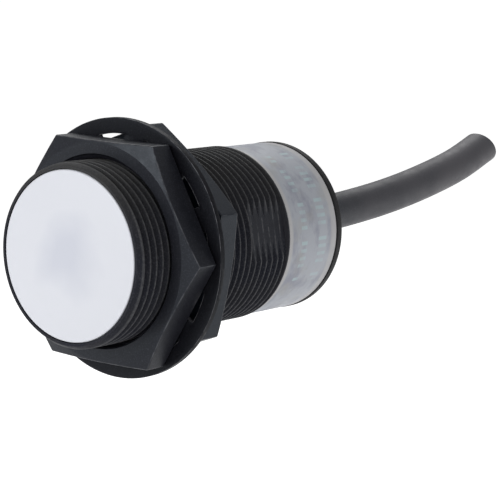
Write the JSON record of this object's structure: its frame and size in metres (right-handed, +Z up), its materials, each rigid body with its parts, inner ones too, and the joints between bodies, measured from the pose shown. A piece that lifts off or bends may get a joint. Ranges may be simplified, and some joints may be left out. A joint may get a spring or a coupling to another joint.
{
  "type": "inductive proximity sensor",
  "caption": "Threaded cylindrical proximity sensor with a flat sensing face, thin hexagon nuts, a toothed lock washer, a frosted indicator sleeve and a short cable.",
  "frame": {"origin": "middle of the sensing face", "axes": "+X along the sensor's axis from the sensing face, which looks along -X, to the cable; +Z up, as the sensor is held level in its bracket"},
  "size_m": [0.113, 0.0428, 0.0428],
  "materials": {
    "coated_brass": "matt black coating, finely speckled, on brass",
    "nut_coating": "satin black coating",
    "washer_coating": "satin black coating, bright along its edges",
    "white_plastic": "smooth, nearly white",
    "frosted_plastic": "frosted, translucent grey",
    "black_plastic": "fine moulded texture",
    "cable_sheath": "dark grey, matt",
    "rubber": "matt",
    "ferrite": "ground, dark grey",
    "copper": "enamelled copper wire",
    "bobbin_plastic": "natural",
    "board": "green solder mask",
    "part_body": "moulded, black",
    "ceramic": "fired, tan",
    "capacitor_can": "drawn can",
    "led_lens": "clear amber",
    "resin": "cast",
    "wire_brown": "smooth insulation",
    "wire_black": "smooth insulation",
    "wire_blue": "smooth insulation"
  },
  "bodies": {
    "sensor": {"threaded_housing": "coated_brass", "sensing_cap": "white_plastic", "seal_ring": "rubber", "ferrite_core": "ferrite", "coil_bobbin": "bobbin_plastic", "coil_winding": "copper", "coil_lead_1": "copper", "coil_lead_2": "copper", "core_carrier": "bobbin_plastic", "circuit_board": "board", "oscillator_chip": "part_body", "load_resistor": "part_body", "bypass_capacitor": "ceramic", "output_transistor": "part_body", "protection_diode": "part_body", "smoothing_capacitor": "capacitor_can", "indicator_led_1": "led_lens", "indicator_led_2": "led_lens", "indicator_led_3": "led_lens", "indicator_led_4": "led_lens", "potting_resin": "resin", "indicator_sleeve": "frosted_plastic", "rear_cap": "black_plastic", "cable_grommet": "rubber", "cable_inner_end": "cable_sheath", "wire_brown": "wire_brown", "wire_black": "wire_black", "wire_blue": "wire_blue", "cable": "cable_sheath"},
    "lock_washer": {"lock_washer": "washer_coating"},
    "front_nut": {"front_nut": "nut_coating"},
    "rear_nut": {"rear_nut": "nut_coating"}
  },
  "joints": [
    {"name": "lock_washer_slide", "type": "slide", "parent": "sensor", "child": "lock_washer", "axis": [1, 0, 0], "range_m": [-0.006, 0]},
    {"name": "front_nut_turn", "type": "hinge", "parent": "lock_washer", "child": "front_nut", "pos_m": [0.00922, 0, 0], "axis": [1, 0, 0], "range_deg": [-1440, 0]},
    {"name": "rear_nut_slide", "type": "slide", "parent": "sensor", "child": "rear_nut", "axis": [1, 0, 0], "range_m": [-0.0011, 0.0184]}
  ],
  "couplings": [
    {"joint": "front_nut_turn", "follows": "lock_washer_slide", "rad_per_m": 4188.8}
  ]
}
